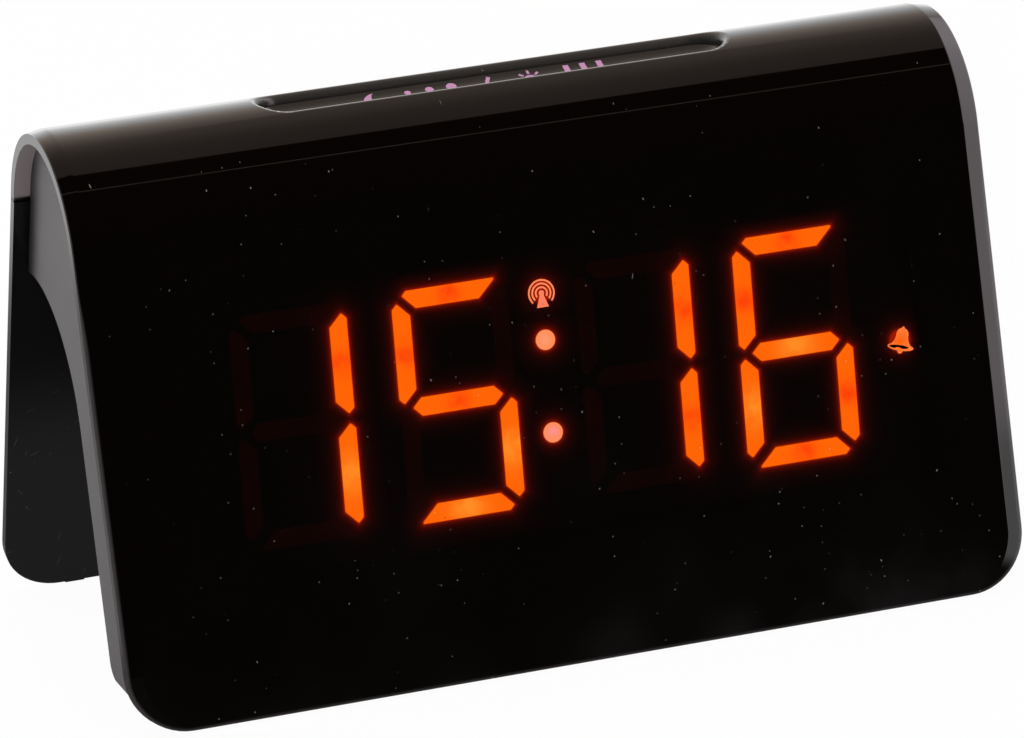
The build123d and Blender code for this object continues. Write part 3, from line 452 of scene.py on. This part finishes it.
def painted_edge_highlight(x, z):
    """Painted highlight: 1 along the ends and the round-cornered lower edge of the cover, standing in for
    the light these edges catch.
    """
    sideways = abs(x) - (cover_high.x - CORNER_RADIUS)
    down = CORNER_RADIUS - (z - cover_low.z) / cos(FRONT_LEAN)
    corner_x = sideways.upper(0.0)
    corner_z = down.upper(0.0)
    outside = (corner_x * corner_x + corner_z * corner_z).root() - CORNER_RADIUS
    end = z.ramp(SHOULDER_LOW, SHOULDER_HIGH, END_LIGHT, ARCH_END_LIGHT)
    reach = corner_z.ramp(0.0, CORNER_RADIUS, end, LOWER_LIGHT)
    return outside.ramp(-1 * reach, -EDGE_FULL * reach)


def arch_lining(radius, across_z):
    """1 on the inside of the arch."""
    return radius.below(ARCH_INSIDE + LINING_SKIN, LINING_FADE) * across_z.above(LINING_LOW, LINING_LOW_FADE)


def key_opening(x, across_y, across_z, radius):
    """1 on the walls of the opening that the snooze key sits in."""
    wall = radius.below(ARCH_RADIUS - OPENING_LIP, OPENING_LIP_FADE)
    wall = wall * radius.above(ARCH_INSIDE, OPENING_WALL_FADE)
    wall = wall * abs(x).below(OPENING_HALF_LENGTH, OPENING_FADE)
    wall = wall * abs(across_y).below(OPENING_HALF_WIDTH, OPENING_FADE)
    return wall * across_z.above(0.0, OPENING_TOP_FADE)


def display_window(x, z):
    """1 where the display lies behind the cover."""
    window = abs(x).below(display_high.x - WINDOW_FADE, WINDOW_FADE)
    window = window * z.above(display_low.z, WINDOW_FADE)
    return window * z.below(display_high.z - WINDOW_FADE, WINDOW_FADE)


def cover_finish():
    """Smoked polished plastic: clear enough over the display, black elsewhere, with dust and smears."""
    finish = new_finish("smoked_cover", IOR=1.5)
    x, y, z = finish.place()
    across_y = y - ARCH_AXIS_Y
    across_z = z - ARCH_AXIS_Z
    radius = (across_y * across_y + across_z * across_z).root()
    depth = (y - FRONT_TOP_Y) * cos(FRONT_LEAN) - (z - FRONT_TOP_Z) * sin(FRONT_LEAN)
    inner_face = depth.above(INNER_FACE_START, INNER_FACE_FADE)
    lining = arch_lining(radius, across_z)
    opening = key_opening(x, across_y, across_z, radius)
    dust = dusty(finish) * abs(x).below(cover_high.x - BEVEL_WIDTH - DUST_END_FADE, DUST_END_FADE)
    # Painted highlight along the cover's ends and lower edge
    colour = finish.blend(painted_edge_highlight(x, z), COVER_BLACK, EDGE_HIGHLIGHT)
    colour = finish.blend(lining, colour, ARCH_LINING)
    colour = finish.blend(opening, colour, OPENING_GREY)
    colour = finish.blend(dust, colour, DUST)
    smear = finish.uneven(size=18.0 * MM, low=0.03, high=0.07, start=0.3, detail=3.0)
    roughness = smear.upper(lining * LINING_ROUGH).upper(opening * OPENING_ROUGH).upper(dust * DUST_ROUGH)
    clear = display_window(x, z) * (1 - WINDOW_ALPHA + inner_face * WINDOW_ALPHA)
    dress(finish, Base_Color=colour, Roughness=roughness, Alpha=(1 - clear).upper(dust))
    return finish.material


def key_finish():
    """Polished black plastic with a little dust."""
    finish = new_finish("polished_key", IOR=1.5)
    dust = finish.specks(spacing=4.0 * MM, radius=0.1 * MM, share=0.2)
    smear = finish.uneven(size=12.0 * MM, low=0.05, high=0.1, start=0.3, detail=3.0)
    colour = finish.blend(dust, KEY_BLACK, DUST)
    dress(finish, Base_Color=colour, Roughness=smear.upper(dust * DUST_ROUGH))
    return finish.material


def scratched_finish(name, colour, roughness):
    """Polished black plastic with fine scratches and dust."""
    finish = new_finish(name, IOR=1.5)
    marks = finish.specks(spacing=3.0 * MM, radius=0.12 * MM, share=0.2)
    for turn in SCRATCH_TURNS:
        scratches = finish.specks(spacing=1.6 * MM, radius=0.08 * MM, share=0.3, stretch=14.0, turn=turn)
        marks = marks.upper(scratches * SCRATCH_DEPTH)
    tone = finish.noise(size=20.0 * MM, detail=3.0)
    polish = tone.ramp(
        start=0.3,
        end=0.7,
        low=roughness - LEG_ROUGH_SPREAD,
        high=roughness + LEG_ROUGH_SPREAD,
    )
    dress(
        finish,
        Base_Color=finish.blend(marks * finish.noise(size=1.0 * MM), colour, DUST),
        Roughness=polish.upper(marks * SCRATCH_ROUGH),
        Normal=finish.bump(tone, LEG_WAVE),
    )
    return finish.material


# Mouldings and metal
def hood_shade(finish):
    """Painted shade: how much of the light the housing loses towards its hood's rear edge, close to the leg,
    as darkening of its colour.
    """
    y, z = finish.place()[1:]
    depth = (housing_rear - y) * cos(REAR_LEAN) - (z - HOOD_LOW_Z) * sin(REAR_LEAN)
    return depth.ramp(0.0, HOOD_SHADE_DEPTH, HOOD_SHADE, 0.0)


def grained_finish(name, colour, roughness, depth=0.02 * MM, spread=0.08, shine=0.5, shaded=None):
    """Moulded plastic with a fine spark-eroded grain and a little unevenness of tone."""
    finish = new_finish(name, Specular_IOR_Level=shine)
    fine = finish.noise(GRAIN)
    light = tuple(c * (1 + spread) for c in colour[:3]) + (1.0,)
    dark = tuple(c * (1 - spread) for c in colour[:3]) + (1.0,)
    tone = finish.blend(finish.noise(size=14.0 * MM, detail=3.0), dark, light)
    if shaded:
        # Painted shade darkens the tone where a shading is given
        tone = finish.blend(shaded(finish), tone, BLACK)
    rough = fine.ramp(
        start=NOISE_START,
        end=NOISE_END,
        low=roughness - GRAIN_ROUGH_SPREAD,
        high=roughness + GRAIN_ROUGH_SPREAD,
    )
    dress(finish, Base_Color=tone, Roughness=rough, Normal=finish.bump(fine, depth))
    return finish.material


def metal_finish(name, colour, roughness):
    """Plated metal, a little uneven in its polish."""
    finish = new_finish(name, Metallic=1.0)
    wear = finish.uneven(
        size=1.5 * MM,
        low=roughness - METAL_ROUGH_SPREAD,
        high=roughness + METAL_ROUGH_SPREAD,
        detail=3.0,
    )
    dress(finish, Base_Color=colour, Roughness=wear)
    return finish.material


def winding_finish():
    """Copper wire laid side by side along the rod, with a painted sheen on each turn's crest and painted
    shade in the grooves between.
    """
    finish = new_finish("copper_winding", Metallic=1.0, Roughness=0.35)
    values = {"Vector": finish.coordinates(), "Scale": 1 / WINDING_PITCH}
    made = finish.node("ShaderNodeTexWave", {"bands_direction": "X"}, values)
    turns = Number(finish, made.outputs["Fac"])
    # Painted shade in the grooves and painted sheen on the crests of the turns
    colour = finish.blend(turns, COPPER_GROOVE_SHADE, COPPER_CREST_SHEEN)
    dress(finish, Base_Color=colour, Normal=finish.bump(turns, WINDING_DEPTH))
    return finish.material


# Display
def islands(node):
    """The faces of each separate piece of a display node, in a merged copy of its mesh."""
    shape = bmesh.new()
    shape.from_mesh(frame["nodes"][node].data)
    bmesh.ops.remove_doubles(shape, verts=shape.verts, dist=MERGE_DISTANCE)
    waiting = set(shape.faces)
    while waiting:
        island = [waiting.pop()]
        for face in island:
            linked = {other for edge in face.edges for other in edge.link_faces}
            fresh = linked & waiting
            waiting -= fresh
            island += fresh
        yield island
    shape.free()


def middle_of(faces):
    """The middle of a piece's front."""
    corners = [corner.co for face in faces for corner in face.verts]
    low = Vector([min(corner[k] for corner in corners) for k in range(3)])
    high = Vector([max(corner[k] for corner in corners) for k in range(3)])
    front = min(corner.dot(INWARD) for corner in corners)
    middle = (low + high) / 2
    return middle + INWARD * (front - middle.dot(INWARD))


def outline_of(faces):
    """A piece's middle, how far its tips are from there, and which way and how far out its walls are."""
    areas = {}
    for face in faces:
        if abs(face.normal.dot(INWARD)) < WALL_UPRIGHT:
            outward = tuple(round(part, 2) for part in face.normal)
            reach = face.verts[0].co.dot(face.normal)
            area = areas.get(outward, (None, 0, 0.0))[2] + face.calc_area()
            areas[outward] = (face.normal.copy(), reach, area)
    walls = [(outward, reach) for outward, reach, area in areas.values() if area > WALL_LEAST_AREA]
    middle = middle_of(faces)
    tip = max((corner.co - middle).cross(INWARD).length for face in faces for corner in face.verts)
    return {"middle": middle, "tip": tip, "walls": walls}


lit_middles = {node: sorted(tuple(middle_of(faces)) for faces in islands(node)) for node in LIT_NODES}
bar_outlines = [outline_of(faces) for faces in islands("segments_lit")]


def glow(finish):
    """Painted glow round the lit pieces, standing in for the light that the smoked cover scatters, as a
    strength.
    """
    round_pieces = lit_middles["colon_dots"] + lit_middles["bell_symbol"] + lit_middles["radio_symbol"][:1]
    from_round = finish.distance(round_pieces) - DOT_RADIUS
    away = finish.outside(bar_outlines).lower(from_round).upper(0.0)
    return NEAR_GLOW * away.fall(NEAR_REACH) + FAR_GLOW * away.fall(FAR_REACH)


def glowing_black(name, colour, ghost):
    """A black face of the display, in its own dark colour, with a painted red glow round the lit bars and a
    faint painted glow of its own.
    """
    finish = new_finish(name, Emission_Strength=GLOW_STRENGTH)
    grain = finish.noise(size=0.3 * MM)
    # Painted glow: round the lit bars, and a faint uneven one over the whole face
    level = glow(finish) + finish.uneven(size=6.0 * MM, low=0.7, high=1.3) * (ghost / GLOW_STRENGTH)
    dress(
        finish,
        Base_Color=finish.blend(grain, colour, DISPLAY_GRAIN),
        Roughness=grain.ramp(NOISE_START, NOISE_END, low=0.5, high=0.7),
        Emission_Color=finish.blend(level, BLACK, GLOW_RED),
    )
    return finish.material


def lit_finish(name, node, colour, light, deep, light_size, deep_size):
    """A diffuser with uneven light: every third piece has a lighter spot, the others a deeper one."""
    finish = new_finish(name, Roughness=0.5, Emission_Strength=LIT_STRENGTH)
    middles = lit_middles[node]
    cloud = finish.uneven(size=2.2 * MM, low=0.35, high=1.0, start=0.25, end=0.6)
    spots = (
        (light, middles[::3], light_size),
        (deep, middles[1::3] + middles[2::3], deep_size),
    )
    mixed = colour
    for tint, places, size in spots:
        if places:
            away = finish.distance(places)
            mixed = finish.blend((away * away).fall(size * size) * cloud, mixed, tint)
    dress(finish, Base_Color=colour, Emission_Color=mixed)
    return finish.material


def lit_bars():
    return lit_finish(
        "lit_orange",
        "segments_lit",
        colour=linear(254, 100, 3),
        light=linear(253, 142, 36),
        deep=linear(252, 60, 6),
        light_size=2.6 * MM,
        deep_size=1.7 * MM,
    )


def lit_dots():
    return lit_finish(
        "lit_dots",
        "colon_dots",
        colour=linear(253, 140, 84),
        light=linear(251, 146, 150),
        deep=linear(252, 158, 118),
        light_size=0.9 * MM,
        deep_size=0.9 * MM,
    )


def lit_bell():
    return lit_finish(
        "lit_bell",
        "bell_symbol",
        colour=linear(252, 122, 54),
        light=linear(254, 98, 4),
        deep=linear(254, 98, 4),
        light_size=1.2 * MM,
        deep_size=1.2 * MM,
    )


def lit_mast():
    return lit_finish(
        "lit_mast",
        "radio_symbol",
        colour=linear(251, 132, 84),
        light=linear(252, 140, 60),
        deep=linear(250, 126, 100),
        light_size=1.5 * MM,
        deep_size=1.5 * MM,
    )


# Every node's finish
def housing_finish():
    grey = linear(123, 119, 121)
    return grained_finish("housing_grey", grey, roughness=0.5, spread=0.14, shine=0.3, shaded=hood_shade)


def make_finishes():
    """The finish of each material slot."""
    return {
        "cover_smoke": cover_finish(),
        "key_black": key_finish(),
        "housing_grey": housing_finish(),
        "leg_black": scratched_finish("leg_black", linear(13, 11, 12), roughness=0.14),
        "button_black": grained_finish("button_black", linear(46, 45, 46), roughness=0.45),
        "segment_lit": lit_bars(),
        "segment_dark": glowing_black("segment_dark", linear(40, 14, 14), ghost=GHOST),
        "frame_black": glowing_black("frame_black", linear(12, 9, 9), ghost=0.0),
        "board_green": grained_finish("board_green", linear(22, 78, 44), roughness=0.35),
        "chip_black": grained_finish("chip_black", linear(28, 28, 30), roughness=0.5),
        "led_white": grained_finish("led_white", linear(226, 214, 180), roughness=0.2),
        "steel": metal_finish("plated_steel", linear(196, 196, 192), roughness=0.25),
        "ferrite": grained_finish("ferrite", linear(58, 55, 55), roughness=0.6),
        "copper_wire": winding_finish(),
        "foot_rubber": grained_finish("foot_rubber", linear(34, 34, 34), roughness=0.75),
    }


def dress_nodes():
    """Each node gets its slot's finish; the dots and the symbols glow in tones of their own."""
    finishes = make_finishes()
    finishes_by_node = {p["node"]: finishes[p["material_slot"]] for p in frame["record"]["subparts"]}
    finishes_by_node["colon_dots"] = lit_dots()
    finishes_by_node["bell_symbol"] = lit_bell()
    finishes_by_node["radio_symbol"] = lit_mast()
    for node, obj in frame["nodes"].items():
        obj.data.materials.clear()
        obj.data.materials.append(finishes_by_node[node])


# Marks on the snooze key
def ink_disc(shape, x, up, radius):
    place = Matrix.Translation((x, up, 0))
    bmesh.ops.create_circle(shape, cap_ends=True, segments=DISC_SEGMENTS, radius=radius, matrix=place)


def ink_bar(shape, x, up, width, height, turn=0.0):
    place = Matrix.Translation((x, up, 0)) @ Matrix.Rotation(turn, 4, "Z")
    place = place @ Matrix.Diagonal((width, height, 1, 1))
    bmesh.ops.create_grid(shape, x_segments=1, y_segments=1, size=0.5, matrix=place)


def ink_moon(shape, x, up, radius):
    """A crescent: a disc whose right half is pressed back into its left half."""
    disc = bmesh.ops.create_circle(shape, cap_ends=True, segments=MOON_SEGMENTS, radius=radius)
    for corner in disc["verts"]:
        if corner.co.x > 0:
            corner.co.x *= -MOON_HOLLOW
        corner.co += Vector((x, up, 0))


def ink_sun(shape, x, up):
    """A disc with a ring of short rays."""
    ink_disc(shape, x, up, SUN_RADIUS)
    for k in range(SUN_RAYS):
        turn = radians(360 / SUN_RAYS * k)
        ray_x = x - RAY_PLACE * sin(turn)
        ray_up = up + RAY_PLACE * cos(turn)
        ink_bar(shape, ray_x, ray_up, RAY_WIDTH, RAY_LENGTH, turn)


def draw_marks(shape):
    ink_moon(shape, MOON_X, MARK_MIDDLE, MOON_RADIUS)
    for k, radius in enumerate(DOTS_RADII):
        ink_disc(shape, DOTS_X + DOTS_PITCH * k, MARK_MIDDLE + DOTS_RISE, radius)
    ink_bar(shape, STROKE_X, MARK_MIDDLE, STROKE_WIDTH, STROKE_HEIGHT, STROKE_TURN)
    ink_sun(shape, SUN_X, MARK_MIDDLE)
    for k in range(BARS):
        ink_bar(shape, BARS_X + BARS_PITCH * k, MARK_MIDDLE + BARS_RISE, BAR_WIDTH, BAR_HEIGHT)


def make_key_marks():
    """The marks are drawn flat, cut into narrow strips and laid into the key's dish."""
    shape = bmesh.new()
    draw_marks(shape)
    bmesh.ops.remove_doubles(shape, verts=shape.verts, dist=MERGE_DISTANCE)
    bmesh.ops.recalc_face_normals(shape, faces=shape.faces)
    bmesh.ops.triangulate(shape, faces=shape.faces)
    for k in INK_CUTS:
        geometry = shape.verts[:] + shape.edges[:] + shape.faces[:]
        bmesh.ops.bisect_plane(shape, geom=geometry, plane_co=(0, k * INK_STEP, 0), plane_no=(0, 1, 0))
    for corner in shape.verts:
        angle = corner.co.y / DISH_RADIUS
        corner.co.y = ARCH_AXIS_Y + DISH_RADIUS * sin(angle)
        corner.co.z = DISH_FLOOR + DISH_RADIUS * (1 - cos(angle))
    for face in shape.faces:
        face.normal_update()
        if face.normal.z < 0:
            face.normal_flip()
    bmesh.ops.solidify(shape, geom=shape.faces[:], thickness=-INK_THICKNESS)
    marks = new_object("key_marks", shape)
    ink = grained_finish("lilac_ink", INK_LILAC, roughness=0.45, depth=INK_GRAIN, spread=0.12)
    marks.data.materials.append(ink)
    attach(marks, "snooze_key")


def new_object(name, shape):
    """An object with the mesh of a finished bmesh, linked to the scene."""
    mesh = bpy.data.meshes.new(name)
    shape.to_mesh(mesh)
    shape.free()
    made = bpy.data.objects.new(name, mesh)
    bpy.context.scene.collection.objects.link(made)
    return made


# Stage, light and camera
def ray(finish, kind):
    """1 for rays of this kind."""
    return Number(finish, finish.node("ShaderNodeLightPath").outputs[kind])


def mirrored_floor(finish):
    """How bright mirrors see each place of the floor."""
    across, along = finish.place()[:2]
    level = FLOOR_FRONT + along.ramp(FLOOR_FRONT_Y, FLOOR_UNDER_Y, 0.0, FLOOR_UNDER - FLOOR_FRONT)
    level = level + along.ramp(FLOOR_DARK_Y, FLOOR_WHITE_Y, 0.0, 1 - FLOOR_UNDER)
    return level.upper(across.above(FLOOR_RIGHT_X, FLOOR_RIGHT_FADE) * FLOOR_RIGHT)


def floor_finish():
    finish = new_finish("floor_white", Base_Color=FLOOR_GREY, Roughness=FLOOR_ROUGH, Specular_IOR_Level=0.0)
    lit = finish.shader.outputs[0]
    mirrored = ray(finish, "Is Glossy Ray")
    seen = ray(finish, "Is Camera Ray").upper(mirrored).upper(ray(finish, "Is Transmission Ray"))
    shown = seen * FLOOR_WHITE
    strength = 1 - mirrored * (1 - mirrored_floor(finish))
    white = finish.node("ShaderNodeEmission", None, {"Color": WHITE, "Strength": strength}).outputs[0]
    mixed = finish.node("ShaderNodeMixShader", None, {0: shown, 1: lit, 2: white}).outputs[0]
    mixed = finish.node("ShaderNodeMixShader", None, {0: mirrored, 1: mixed, 2: white}).outputs[0]
    finish.plug(finish.tree.nodes["Material Output"].inputs["Surface"], mixed)
    return finish.material


def make_floor():
    shape = bmesh.new()
    bmesh.ops.create_grid(shape, x_segments=1, y_segments=1, size=FLOOR_SIZE / 2)
    floor = new_object("floor", shape)
    floor.data.materials.append(floor_finish())


def make_world():
    """White above and behind, a panel at the right, and a dark room in front with one thin streak."""
    world = bpy.data.worlds.new("studio")
    bpy.context.scene.world = world
    world.use_nodes = True
    finish = Finish(world.node_tree)
    across, along, up = finish.parts(finish.coordinates("Generated"))
    ceiling = along.above(CEILING_EDGE, CEILING_FADE)
    white = OVERHEAD_WHITE + BACK_WHITE * along * along * along
    streak = abs(along - STREAK_PLACE).ramp(STREAK_HALF, 2 * STREAK_HALF, STREAK_WHITE, 0.0)
    front = streak.upper(FRONT_DARK)
    panel = across.above(PANEL_INNER, PANEL_FADE) * across.below(PANEL_OUTER, PANEL_FADE)
    panel = panel * along.below(PANEL_REAR, PANEL_REAR_FADE)
    side = panel * up.ramp(PANEL_DIM_UP, PANEL_BRIGHT_UP, PANEL_DIM, PANEL_BRIGHT)
    side = side * along.ramp(PANEL_NEAR_ALONG, PANEL_FAR_ALONG, 1.0, PANEL_FAR_SHARE)
    room = (ceiling * white + (1 - ceiling) * front).upper(side)
    direct = ray(finish, "Is Camera Ray")
    mirrored = ray(finish, "Is Glossy Ray").upper(ray(finish, "Is Transmission Ray"))
    strength = direct + (1 - direct) * (mirrored * room + (1 - mirrored) * WORLD_LIGHT)
    colour = finish.blend(mirrored * up.above(WARM_LOW, WARM_FADE), WHITE, ROOM_TINT)
    colour = finish.blend(panel * mirrored, colour, PANEL_TINT)
    shader = world.node_tree.nodes["Background"]
    finish.plug(shader.inputs["Color"], colour)
    finish.plug(shader.inputs["Strength"], strength)


def add_panel(name, place, size, watts):
    """A lamp that lights the clock and isn't seen in mirrors."""
    lamp = bpy.data.lights.new(name, "AREA")
    lamp.shape = "RECTANGLE"
    lamp.size, lamp.size_y = size
    lamp.energy = watts
    panel = bpy.data.objects.new(name, lamp)
    panel.location = place
    panel.rotation_euler = (LAMP_AIM - Vector(place)).to_track_quat("-Z", "Y").to_euler()
    panel.visible_glossy = False
    bpy.context.scene.collection.objects.link(panel)


def make_camera():
    flat = cos(CAMERA_ELEVATION)
    back = Vector((sin(CAMERA_AZIMUTH) * flat, -cos(CAMERA_AZIMUTH) * flat, sin(CAMERA_ELEVATION)))
    level = Vector((cos(CAMERA_AZIMUTH), sin(CAMERA_AZIMUTH), 0))
    upright = back.cross(level)
    right = level * cos(CAMERA_ROLL) + upright * sin(CAMERA_ROLL)
    up = upright * cos(CAMERA_ROLL) - level * sin(CAMERA_ROLL)
    data = bpy.data.cameras.new("camera")
    data.sensor_width = SENSOR_WIDTH
    data.lens = FOCAL_PIXELS / IMAGE_WIDTH * SENSOR_WIDTH
    camera = bpy.data.objects.new("camera", data)
    place = Vector((AIM_RIGHT, ARCH_AXIS_Y, AIM_HEIGHT)) + back * CAMERA_DISTANCE
    turn = Matrix((right, up, back)).transposed().to_4x4()
    camera.matrix_world = Matrix.Translation(place) @ turn
    bpy.context.scene.collection.objects.link(camera)
    bpy.context.scene.camera = camera


dress_nodes()
make_key_marks()
make_floor()
make_world()
add_panel("overhead", place=(-0.2, 0.1, 0.9), size=(0.9, 0.7), watts=4.0)
add_panel("right_panel", place=(0.75, -0.75, 0.25), size=(0.3, 0.8), watts=1.5)
make_camera()
bpy.context.scene.view_settings.view_transform = "Standard"
